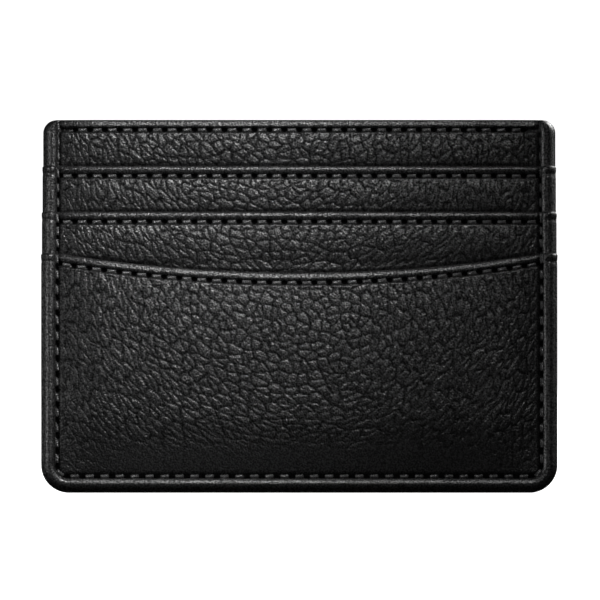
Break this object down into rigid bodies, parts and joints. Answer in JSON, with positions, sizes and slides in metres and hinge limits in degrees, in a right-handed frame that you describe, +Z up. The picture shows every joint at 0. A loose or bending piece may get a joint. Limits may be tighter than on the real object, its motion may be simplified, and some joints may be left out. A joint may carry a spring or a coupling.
{
  "type": "card holder",
  "caption": "Slim upright leather card holder with stepped front card slots, a scooped front pocket, a centre pocket open at the top and a stitched edge binding.",
  "frame": {"origin": "middle of the bottom edge: centre of the width and of the thickness, at the lowest point", "axes": "+X along the width, +Z up towards the pocket mouths, the card slots face -Y and the plain back faces +Y"},
  "size_m": [0.1, 0.007, 0.0721],
  "materials": {
    "grained_leather": "black pebble-grained leather with a soft sheen",
    "smooth_leather": "black fine-grained leather, rolled and skived, soft sheen",
    "lining_cloth": "black closely woven pocket lining",
    "stiffener_board": "grey-brown bonded fibre interlining",
    "thread": "black bonded sewing thread"
  },
  "bodies": {
    "root": {"back_panel": "grained_leather", "body_panel": "grained_leather", "upper_slot_panel": "grained_leather", "middle_slot_panel": "grained_leather", "front_pocket_panel": "grained_leather", "back_stiffener": "stiffener_board", "body_stiffener": "stiffener_board", "back_lining": "lining_cloth", "body_lining": "lining_cloth", "upper_slot_lining": "lining_cloth", "middle_slot_lining": "lining_cloth", "front_pocket_lining": "lining_cloth", "centre_pocket_welt": "lining_cloth", "upper_slot_welt": "lining_cloth", "middle_slot_welt": "lining_cloth", "front_pocket_welt": "lining_cloth", "edge_binding": "smooth_leather", "body_top_stitching": "thread", "back_top_stitching": "thread", "upper_slot_stitching": "thread", "middle_slot_stitching": "thread", "front_pocket_stitching": "thread", "front_perimeter_stitching": "thread", "back_perimeter_stitching": "thread"}
  },
  "joints": []
}
